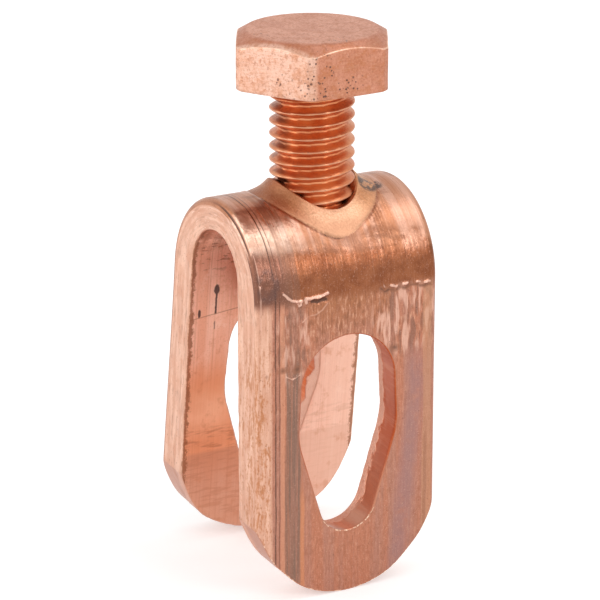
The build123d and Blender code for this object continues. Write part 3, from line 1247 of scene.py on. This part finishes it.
def drawn_copper():
    """The strip's outer face: drawn lines, tarnish bands, a shoulder that shows the tool's rubbing and
    painted shade, a painted highlight on the crown, and smeared legs.
    """
    g = Graph("drawn_copper")
    s, y, depth = g.strip()
    place = g.place()
    height = RIGHT_SEAT_S - s
    fine = g.streaks(s, y, 0.14, 5.0, 1.0, 5.0)
    hair = g.streaks(s, y, 0.9, 9.0, 4.0, 6.0)
    broad = g.streaks(s, y, 0.03, 0.8, 2.0)
    patches = g.noise(place, 0.16, 4.0)
    cloud = g.noise(place, 0.6, 5.0, 0.65)
    grain = g.noise(place, 3.2, 3.0)
    on_leg = g.ramp(s, 15.0, 16.6)
    below_shoulder = height + y * 0.1 + (cloud - 0.5) * 2.6
    shoulder = g.ramp(below_shoulder, 29.3, 31.2, 1.0, 0.0)
    on_right = g.ramp(s, 0.0, 0.5)
    crown = g.mix(g.ramp(broad, 0.38, 0.6), PINK, CROWN_BAND)
    mottled = g.ramp(patches, 0.46, 0.58) * g.ramp(cloud, 0.38, 0.6)
    crown = g.mix(mottled * g.ramp(s, -4.0, 4.0, 0.55, 0.85), crown, CROWN_MOTTLE)
    leg = g.mix(g.ramp(broad, 0.38, 0.62), ROSE, LEG_BAND)
    under_lip = g.ramp(height, 17.5, 25.0) * g.between(y, -4.0, 4.5, 2.5)
    leg = g.mix(under_lip * g.ramp(cloud, 0.25, 0.6, 0.5, 1.0) * 0.9, leg, UNDER_LIP)
    scuffs = g.streaks(s, y, 0.9, 3.4, 41.0, 7.0)
    blotches = g.noise(place, 1.2, 5.0, 0.7)
    upper = g.ramp(height, 15.0, 20.0, 0.35, 1.0)
    leg = g.mix(g.ramp(scuffs, 0.5, 0.64) * upper * 0.7, leg, SCUFF_DARK)
    leg = g.mix(g.ramp(scuffs, 0.47, 0.34) * upper * 0.7, leg, SCUFF_PALE)
    leg = g.mix(g.ramp(blotches, 0.52, 0.66) * 0.45, leg, BLOTCH)
    tongues = g.streaks(s, y, 0.22, 1.15, 9.0, 2.0)
    tongue_zone = g.larger(*(g.spot(y, height, *tongue) for tongue in PALE_TONGUES))
    leg = g.mix(g.ramp(tongues, 0.5, 0.6) * tongue_zone * 0.9, leg, TONGUE_PALE)
    leg = g.mix(g.ramp(tongues, 0.48, 0.4) * tongue_zone * 0.75, leg, TONGUE_DARK)
    # Painted highlight on the front of the crown.
    bright = g.ramp(y + broad * 3.0, -2.0, -6.0) * g.between(height, 31.2, 36.0, 1.5) * on_right
    crown = g.mix(bright * g.ramp(cloud, 0.3, 0.6, 1.0, 0.4) * 0.9, crown, CROWN_GLEAM)
    # The shoulder: its dark brown is partly painted shade.
    satin_and_shade = g.mix(g.ramp(cloud, 0.35, 0.65), SATIN_AND_SHADE, SATIN_AND_SHADE_PALE)
    satin_and_shade = g.mix(g.ramp(y + broad * 3.0, -7.2, -4.6, 0.85, 0.0), satin_and_shade, SATIN_AND_SHADE_END)
    g.colour = g.mix(shoulder * on_right, crown, satin_and_shade)
    g.paint(leg, on_leg * on_right)
    g.paint(leg, g.ramp(s, -11.0, -17.0) * 0.7)
    less_on_leg = 1.0 - shoulder * 0.6
    g.paint(BROWN, g.ramp(fine, 0.52, 0.75) * less_on_leg * 0.5)
    g.paint(PINK, g.ramp(fine, 0.48, 0.28) * less_on_leg * 0.35)
    g.paint(UMBER, g.ramp(g.streaks(s, y, 0.35, 2.6, 17.0, 6.0), 0.52, 0.7) * on_leg * 0.4)
    g.paint(PALE, g.ramp(hair, 0.56, 0.8) * on_leg * 0.25)
    sway = g.noise(g.combine(s * 0.12, 0.0, 5.0), 1.0)
    across = y + (sway - 0.5) * 0.45
    broken = g.ramp(g.streaks(s, y, 0.4, 1.5, 12.0), 0.3, 0.5, 0.35, 1.0)
    second = g.line(across, SECOND_LINE, 0.02, 0.08) * 0.7
    lines = g.larger(g.line(across, FRONT_LINE, 0.03, 0.09), second)
    band_edge = across + (g.streaks(s, y, 0.06, 3.0, 6.0) - 0.5) * 0.9
    band = g.between(band_edge, *TARNISH_BAND, 0.22)
    faded = g.ramp(height, 15.5, 19.0, 0.95, 0.42)
    worn = g.ramp(g.streaks(s, y, 0.08, 3.2, 14.0, 5.0), 0.3, 0.66, 1.0, 0.35)
    g.paint(TARNISH, band * faded * worn * on_right)
    g.paint(ORANGE, g.line(across, ORANGE_LINE, 0.12, 0.3) * on_leg * g.ramp(height, 4.0, 0.0) * 0.8)
    g.paint(BAND_MIDDLE, g.line(across, MIDDLE_LINE, 0.2, 0.15) * on_leg * 0.55)
    g.paint(DARK, lines * broken * g.ramp(s, -14.0, -8.0) * 0.85)
    widening = g.larger(12.0 - height, 0.0)
    tint = g.line(band_edge + widening * 0.11, VIOLET_LINE, 0.2, 1.9)
    tint = tint * g.ramp(height, 19.0, 14.0) * g.ramp(cloud, 0.25, 0.55, 0.55, 1.0)
    g.paint(VIOLET, tint * 0.72)
    side_band = g.between(band_edge, *SIDE_EDGES, 0.2)
    g.paint(SIDE_BAND, side_band * on_leg * 0.5)
    side_line = g.line(across, SIDE_LINE, 0.1, 0.25) * g.between(height, -6.0, 5.0, 4.0)
    g.paint(BROWN, side_line * broken * 0.45)
    front_strip = g.ramp(y, *FRONT_STRIP) * on_leg
    g.paint(edge_look(g, s, y, depth), front_strip * 0.9)
    burnt = g.spot(y, height, *BURNT_SPOT) * g.ramp(cloud, 0.4, 0.62)
    g.paint(BURNT, burnt * 0.75)
    specks = g.ramp(g.noise(place, 2.3, 5.0, 0.75), 0.635, 0.7)
    g.paint(DARK, specks * 0.7)
    dust = g.noise(place, 5.5, 4.0, 0.8)
    g.paint(BROWN, g.ramp(dust, 0.55, 0.68) * 0.35)
    g.paint(PALE, g.ramp(dust, 0.45, 0.32) * 0.35)
    glints = g.ramp(g.noise(place, 3.1, 4.0, 0.8), 0.35, 0.29)
    g.paint(GLINT, glints * 0.5)
    smudge = g.spot(y, s, *SMUDGE_SPOT) * g.ramp(g.noise(place, 1.3, 3.0), 0.36, 0.5)
    g.paint(SMUDGE, smudge * 0.9)
    # Tool marks: pale burnished ridges, and painted shade in their hollows.
    mark = g.mark()
    for shade, start, full, strength in MARK_BURNISH_AND_HOLLOW_SHADE:
        g.paint(shade, g.ramp(mark, start, full, 0.0, strength))
    g.metal(g.ramp(fine, 0.3, 0.7, 0.26, 0.42) + on_leg * 0.04)
    g.bumps(
        (g.streaks(s, y, 0.12, 2.2, 7.0), 0.45, 0.1),
        (fine, 0.35, 0.04),
        (hair, 0.4, 0.03),
        (cloud, 0.4, 0.12),
        (grain, 0.6, 0.04),
    )
    return g.material


def inner_copper():
    """The strip's inner face: paler, with soft drawn lines and a few dark stains on the splayed leg."""
    g = Graph("inner_copper")
    s, y, _ = g.strip()
    place = g.place()
    height = s - LEFT_SEAT_S
    fine = g.streaks(s, y, 0.04, 4.5, 21.0)
    broad = g.streaks(s, y, 0.03, 0.7, 22.0)
    cloud = g.noise(place, 0.5, 5.0, 0.6)
    g.colour = g.mix(g.ramp(broad, 0.35, 0.65), INNER_PALE, INNER_BAND)
    g.paint(INNER_LINE, g.ramp(fine, 0.52, 0.68) * 0.4)
    g.paint(INNER_CLOUD, g.ramp(cloud, 0.45, 0.32) * 0.4)
    dust = g.noise(place, 4.0, 4.0, 0.8)
    g.paint(INNER_DUST, g.ramp(dust, 0.54, 0.68) * 0.4)
    # Painted light on the splayed leg's lower inner face: a warm glow and a pale highlight.
    glow = g.between(height, 1.5, 9.0, 6.0) * g.ramp(y, 1.0, -5.0) * g.ramp(s, 0.0, -4.0)
    g.paint(GLOW, glow * 0.8)
    highlight_spot = (
        g.ramp(height, 1.5, 6.0)
        * g.ramp(height, 10.5, 6.0)
        * g.ramp(y, -3.5, -7.5)
        * g.ramp(s, 0.0, -4.0)
    )
    g.paint(INNER_HIGHLIGHT, highlight_spot * g.ramp(cloud, 0.3, 0.6, 0.5, 0.8))
    rubs = g.noise(g.combine(s * 2.2, y * 0.35, 9.0), 1.0, 5.0)
    low_rubs = g.ramp(rubs, 0.48, 0.62) * g.between(height, -8.0, 3.2, 1.5) * g.ramp(s, 0.0, -4.0)
    g.paint(RUB, low_rubs * 0.6)
    g.paint(INNER_END, g.ramp(height, 1.0, 0.4) * 0.7)
    g.paint(INNER_BACK, g.ramp(y, 2.0, 5.0) * 0.6)
    g.paint(ORANGE, g.ramp(cloud, 0.55, 0.7) * 0.4)
    crown = g.ramp(abs(s), 9.0, 6.0)
    g.paint(UMBER, crown * g.ramp(cloud, 0.4, 0.6) * 0.6)
    wavy = y + g.noise(place, 1.2, 3.0) * 0.3
    stain = g.line(wavy, DRIP_LINE, 0.07, 0.12) * g.between(height, 19.0, 21.8, 0.3)
    for spot in DRIP_SPOTS:
        stain = g.larger(stain, g.spot(wavy, height, *spot))
    tail = g.line(wavy, DRIP_TAIL, 0.03, 0.1) * g.between(height, 17.0, 17.8, 0.2)
    stain = g.larger(stain, tail * 0.7)
    on_left = g.ramp(s, -4.0, -8.0)
    g.paint(INK, stain * on_left * 0.9)
    scratch = g.line(height - y * 0.1, SCRATCH_HEIGHT, 0.02, 0.09)
    g.paint(BROWN, scratch * on_left * 0.5)
    folds = g.ramp(g.noise(g.combine(s * 1.6, y * 0.5, 8.0), 1.0, 4.0), 0.55, 0.62)
    g.paint(BROWN, folds * g.between(height, 25.5, 31.0, 2.0) * on_left * 0.55)
    ragged = g.noise(place, 1.1, 6.0, 0.75) * 2.4
    burr = g.ramp(abs(y) + ragged, 12.15, 12.5)
    g.paint(INNER_BURR, burr * 0.8)
    g.metal(g.ramp(fine, 0.3, 0.7, 0.42, 0.54))
    g.bumps((fine, 0.4, 0.04), (cloud, 0.35, 0.12), (folds * g.ramp(height, 26.0, 28.0), 0.5, 0.12))
    return g.material


def edge_copper():
    """The strip's long edges: pale and smooth, stained orange low on the straight leg."""
    g = Graph("edge_copper")
    s, y, depth = g.strip()
    place = g.place()
    cloud = g.noise(place, 0.45, 5.0, 0.62)
    grain = g.noise(place, 2.4, 4.0, 0.7)
    lengthways = g.streaks(s, depth, 0.22, 2.4, 31.0, 6.0)
    g.colour = edge_look(g, s, y, depth)
    g.paint(EDGE_CLOUD, g.ramp(cloud, 0.45, 0.62, 0.0, 0.35))
    crown = g.between(s, -6.0, 12.0, 5.0)
    scratch = g.noise(g.combine(s * 0.5, depth * 2.5, 7.0), 1.3, 3.0)
    g.paint(SCRATCH, g.ramp(scratch, 0.6, 0.66) * crown * 0.7)
    burr = g.ramp(depth + g.noise(place, 1.1, 6.0, 0.75) * 2.2, 5.45, 5.75)
    g.paint(BURR, burr * g.ramp(s, -4.0, -9.0) * 0.75)
    g.metal(g.ramp(cloud, 0.3, 0.7, 0.34, 0.46))
    g.bumps((lengthways, 0.4, 0.08), (grain, 0.4, 0.06))
    return g.material


def sheared_copper():
    """Cut walls: smooth and deep orange where the punch cut, pale and torn where it broke through."""
    g = Graph("sheared_copper")
    s, y, depth = g.strip()
    place = g.place()
    edge = depth + (g.noise(place, 0.5, 4.0) - 0.5) * 2.0
    torn = g.ramp(edge, 3.0, 3.3)
    grain = g.noise(place, 2.6, 5.0, 0.7)
    drag = g.noise(g.combine(depth * 0.25, s * 3.0, y * 3.0), 1.0)
    height = RIGHT_SEAT_S - abs(s)
    cut = g.mix(g.ramp(height, 0.0, 7.0), CUT_LOW, CUT_HIGH)
    cut = g.mix(g.ramp(drag, 0.5, 0.68) * 0.3, cut, DRAG)
    g.colour = g.mix(torn, cut, TORN)
    g.paint(BROWN, g.ramp(grain, 0.58, 0.75, 0.0, 0.5))
    # Painted shade along the cut walls' edge at the outer face.
    rim = g.ramp(depth + grain * 0.5, 0.55, 0.3)
    g.paint(RIM_SHADE, rim * 0.6)
    crumbs = (
        g.ramp(g.noise(place, 2.8, 3.0), 0.5, 0.58)
        * g.ramp(depth, 0.7, 0.45)
        * g.ramp(height, -1.0, -2.5)
    )
    g.paint(CRUMB, crumbs * 0.9)
    g.metal(torn * 0.12 + 0.33)
    g.bumps((drag, 0.45, 0.08), (grain * torn, 0.8, 0.18))
    return g.material


def collar_copper():
    """The collar's stretched metal: golden and gritty, with drag marks that run up to the rim."""
    g = Graph("collar_copper")
    s, y, depth = g.strip()
    place = g.place()
    grit = g.noise(place, 4.0, 5.0, 0.7)
    broad = g.noise(place, 0.35, 3.0)
    angle = g.math("ARCTAN2", y - HOLE_Y, s)
    ring = g.combine(angle * 9.0, depth * 0.5, 4.0)
    drawn = g.noise(ring, 1.4, 4.0)
    g.colour = g.mix(g.ramp(broad, 0.35, 0.65), GOLD, COLLAR_DARK)
    g.paint(BROWN, g.ramp(drawn, 0.5, 0.7) * 0.2)
    g.paint(BURR, g.ramp(grit, 0.5, 0.68, 0.0, 0.55))
    g.paint(GRIT_PALE, g.ramp(grit, 0.46, 0.34, 0.0, 0.4))
    across = y - HOLE_Y
    out = g.math("SQRT", s * s + across * across)
    # Painted highlight where the collar faces the straight leg, and painted shade on its front and
    # splayed-leg side.
    lit = g.ramp(angle, -0.9, -0.35) * g.ramp(angle, 0.75, 0.3) * g.ramp(s, 2.0, 4.5)
    g.paint(COLLAR_LIT, lit * g.ramp(grit, 0.35, 0.6, 0.9, 0.5))
    shaded = g.ramp(angle, -0.8, -1.35) * g.ramp(broad, 0.3, 0.6, 0.6, 1.0)
    g.paint(COLLAR_SHADE, shaded * 0.85)
    edge = g.ramp(out + broad * 1.5, 7.2, 8.6) * g.ramp(s, -1.0, 3.0)
    g.paint(COLLAR_EDGE, edge * 0.7)
    smudge = g.spot(y, s, *COLLAR_SMUDGE) * g.ramp(g.noise(place, 1.3, 3.0), 0.36, 0.5)
    g.paint(SMUDGE, smudge * 0.85)
    # Painted shade in the collar's crease, darker where it is deeper.
    g.paint(CREASE_SHADE, g.ramp(g.mark(), -0.03, -0.11, 0.0, 0.6))
    g.metal(g.ramp(grit, 0.3, 0.7, 0.3, 0.42))
    g.bumps((broad, 0.35, 0.3), (drawn, 0.25, 0.06), (grit, 0.9, 0.07))
    return g.material


def thread_copper():
    """Rolled threads: clean and orange in the roots, pale and nicked on the crests."""
    g = Graph("thread_copper")
    s, z, radius = g.strip()
    place = g.place()
    grain = g.noise(place, 2.8, 4.0, 0.65)
    uneven = (grain - 0.5) * 0.16
    crest = g.ramp(radius + uneven, BOLT_RADIUS - 0.06, BOLT_RADIUS)
    patches = g.noise(place, 0.35, 3.0, 0.6)
    g.colour = g.mix(g.ramp(grain, 0.35, 0.65), ROOT, ROOT_DARK)
    g.paint(ROOT_PALE, g.ramp(patches, 0.46, 0.62) * 0.6)
    # Painted shade in the thread's roots on one side of the bolt.
    shaded = g.between(s, 21.0, 24.5, 1.5) * g.ramp(radius, BOLT_RADIUS - 0.1, BOLT_RADIUS - 0.4)
    g.paint(ROOT_SHADE, shaded * g.ramp(patches, 0.4, 0.52) * 0.7)
    g.paint(CREST, crest * 0.6)
    specks = g.ramp(g.noise(place, 1.7, 3.0, 0.7), 0.64, 0.7)
    g.paint(DARK, specks * crest * 0.85)
    g.metal(g.ramp(grain, 0.3, 0.7, 0.3, 0.42))
    scored = g.noise(g.combine(s * 0.2, z * 3.0, 3.0), 1.0)
    g.bumps((scored, 0.4, 0.06), (grain, 0.5, 0.05))
    return g.material


def forged_copper():
    """The head: matt and mottled, with small dark pits, and painted light that makes one pair of flats
    paler.
    """
    g = Graph("forged_copper")
    place = g.place()
    s, z, radius = g.strip()
    mottle = g.noise(place, 0.55, 5.0, 0.62)
    grain = g.noise(place, 3.4, 4.0, 0.7)
    px, py, _ = g.split(place)
    # Painted light: the flat that faces the key lamp, and the one opposite it, are paler.
    towards = HEAD_TURN - SIXTH / 2
    out = px * math.cos(towards) + (py - HOLE_Y) * math.sin(towards)
    lit_flats = g.ramp(abs(out), HEAD_FLATS / 2 - 0.9, HEAD_FLATS / 2 - 0.25)
    g.colour = g.mix(g.ramp(mottle, 0.35, 0.65), HEAD_PINK, HEAD_BROWN)
    g.paint(g.mix(g.ramp(mottle, 0.35, 0.65), LIT_FLAT_PALE, LIT_FLAT_BAND), lit_flats)
    flecks = g.ramp(g.noise(place, 1.9, 6.0, 0.75), 0.54, 0.66)
    g.paint(FLECK, flecks * 0.4)
    on_top = g.ramp(radius, HEAD_TOP_RADIUS + 0.1, HEAD_TOP_RADIUS - 0.2) * g.ramp(z, 1.0, 2.0)
    g.paint(HEAD_TOP, on_top * g.ramp(mottle, 0.3, 0.6, 1.0, 0.45))
    g.paint(UMBER, g.ramp(grain, 0.5, 0.66) * 0.5)
    g.paint(HEAD_GRAIN, g.ramp(grain, 0.47, 0.34) * 0.2)
    rust = g.ramp(g.noise(place, 1.1, 6.0, 0.75), 0.52, 0.62) * 0.45
    g.paint(RUST, rust)
    pits = g.cells(place, 2.1)
    beside = py * math.cos(HEAD_TURN) - px * math.sin(HEAD_TURN)
    on_side = g.ramp(radius, HEAD_TOP_RADIUS + 0.4, HEAD_TOP_RADIUS + 0.8)
    forward = px * math.cos(HEAD_TURN) + py * math.sin(HEAD_TURN)
    front = g.ramp(forward, 3.0, 5.0)
    spread = g.ramp(g.noise(place, 0.24, 2.0), 0.62, 0.72)
    for spot, strength in PIT_GROUPS:
        spread = g.larger(spread, g.spot(beside, z, *spot) * front * strength)
    size = g.noise(place, 1.1, 2.0) * 0.52
    pit = g.ramp(pits - size, -0.06, 0.0, 1.0, 0.0) * spread
    g.paint(PIT, pit * 0.85)
    brushed = g.noise(g.combine(s * 0.8, z * 5.0, radius), 1.0, 5.0, 0.6)
    g.paint(BRUSHED, g.ramp(brushed, 0.5, 0.66) * on_side * 0.45)
    corner_away = abs(radius - (HEAD_FLATS / 2 / math.cos(SIXTH / 2) - 0.1))
    nicks = g.ramp(corner_away, 0.3, 0.05) * g.ramp(g.noise(place, 1.5, 5.0, 0.7), 0.52, 0.6)
    g.paint(NICK, nicks * g.ramp(forward, 6.0, 3.0) * 0.7)
    # Painted highlight along the head's brow.
    brow_highlight = g.ramp(g.mark(), 0.35, 0.9)
    g.paint(BROW_HIGHLIGHT, brow_highlight * g.ramp(mottle, 0.36, 0.58, 0.8, 0.25))
    g.metal(g.ramp(grain, 0.3, 0.7, 0.38, 0.5))
    g.bumps((mottle, 0.35, 0.2), (grain, 0.8, 0.06), (pit * -1.0, 0.8, 0.12))
    return g.material


# ---------------------------------------------------------------- build

CLAMP_MATERIALS = [drawn_copper(), sheared_copper(), collar_copper(), edge_copper(), inner_copper()]
clamp = mesh_object("copper_strap", clamp_mesh(), CLAMP_MATERIALS)
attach(clamp, "clamp")
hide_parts("clamp_body")
screw = mesh_object("hex_screw", bolt_mesh(), [thread_copper(), forged_copper()])
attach(screw, "bolt")
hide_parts("hex_bolt")


# ---------------------------------------------------------------- camera, floor and light

CAMERA_AZIMUTH = 60.94
CAMERA_ELEVATION = 18.80
CAMERA_DISTANCE = 0.35      # in metres
CAMERA_FOCAL = 181.56
SENSOR_WIDTH = 36.0
AIM_SIDE = -1.358           # the camera aims this far to the right of the bolt's axis
AIM_HEIGHT = 21.22
LAMP_HEIGHT = 21.0          # the lamps face this height
WHITE = (1, 1, 1, 1)
FLOOR_GREY = (0.85, 0.85, 0.85, 1)
FLOOR_LIFT = 0.38           # what the floor adds of its own, so that it is seen as white
FILL_STRENGTH = 0.7
# name, azimuth, elevation, distance in metres, side in metres, watts
LAMPS = (
    ("key", -20, 20, 0.8, 0.7, 2.4),
    ("side", 112, 28, 0.7, 0.25, 0.8),
    ("top", 150, 62, 0.8, 0.4, 0.9),
)


def add_facing(data, target, azimuth, elevation, distance):
    """Adds a camera or lamp that faces a target from a distance, and returns it."""
    a = math.radians(azimuth)
    e = math.radians(elevation)
    back = Vector((math.sin(a) * math.cos(e), -math.cos(a) * math.cos(e), math.sin(e)))
    thing = bpy.data.objects.new(data.name, data)
    thing.location = target * MM + back * distance
    thing.rotation_mode = "QUATERNION"
    thing.rotation_quaternion = (-back).to_track_quat("-Z", "Y")
    bpy.context.scene.collection.objects.link(thing)
    return thing


def add_camera():
    """The camera, at the photograph's angle."""
    azimuth = math.radians(CAMERA_AZIMUTH)
    right = Vector((math.cos(azimuth), math.sin(azimuth), 0))
    data = bpy.data.cameras.new("camera")
    data.lens = CAMERA_FOCAL
    data.sensor_width = SENSOR_WIDTH
    data.clip_start = 0.01
    data.clip_end = 20.0
    aim = Vector((0, HOLE_Y, AIM_HEIGHT)) + right * AIM_SIDE
    camera = add_facing(data, aim, CAMERA_AZIMUTH, CAMERA_ELEVATION, CAMERA_DISTANCE)
    bpy.context.scene.camera = camera


def add_lamp(name, azimuth, elevation, distance, size, power):
    """A square softbox that faces the object's middle."""
    data = bpy.data.lights.new(name, "AREA")
    data.shape = "SQUARE"
    data.size = size
    data.energy = power
    add_facing(data, Vector((0, 0, LAMP_HEIGHT)), azimuth, elevation, distance)


def white_where_seen(tree):
    """1 where the camera, a mirror image or glass sees the surround, and 0 where it only lights."""
    path = new_node(tree, "LightPath")
    seen = path.outputs["Is Camera Ray"]
    for name in ("Is Glossy Ray", "Is Transmission Ray"):
        either = new_node(tree, "Math", {0: seen, 1: path.outputs[name]}, operation="MAXIMUM")
        seen = either.outputs[0]
    return seen


def add_world():
    """A white surround for what is seen and mirrored, and a plain fill light."""
    world = bpy.data.worlds.new("studio")
    world.use_nodes = True
    tree = world.node_tree
    tree.nodes.clear()
    seen = white_where_seen(tree)
    fill = new_node(tree, "Background", {"Color": WHITE, "Strength": FILL_STRENGTH})
    white = new_node(tree, "Background", {"Color": WHITE, "Strength": 1.0})
    mix = new_node(tree, "MixShader", {0: seen, 1: fill.outputs[0], 2: white.outputs[0]})
    new_node(tree, "OutputWorld", {0: mix.outputs[0]})
    bpy.context.scene.world = world


def add_floor():
    """A pale floor just under the legs' round ends. It is seen as white, and keeps the shadow."""
    bpy.ops.mesh.primitive_plane_add(size=3.0, location=(0, 0, cad_box[0][2]))
    floor = bpy.context.object
    floor.name = "floor"
    material = bpy.data.materials.new("pale_floor")
    material.use_nodes = True
    tree = material.node_tree
    shader = tree.nodes["Principled BSDF"]
    shader.inputs["Base Color"].default_value = FLOOR_GREY
    shader.inputs["Roughness"].default_value = 0.9
    shader.inputs["Emission Color"].default_value = WHITE
    lifted = {0: white_where_seen(tree), 1: FLOOR_LIFT}
    lift = new_node(tree, "Math", lifted, operation="MULTIPLY")
    tree.links.new(lift.outputs[0], shader.inputs["Emission Strength"])
    floor.data.materials.append(material)


add_camera()
add_world()
add_floor()
for lamp in LAMPS:
    add_lamp(*lamp)

bpy.context.scene.view_settings.view_transform = "Standard"
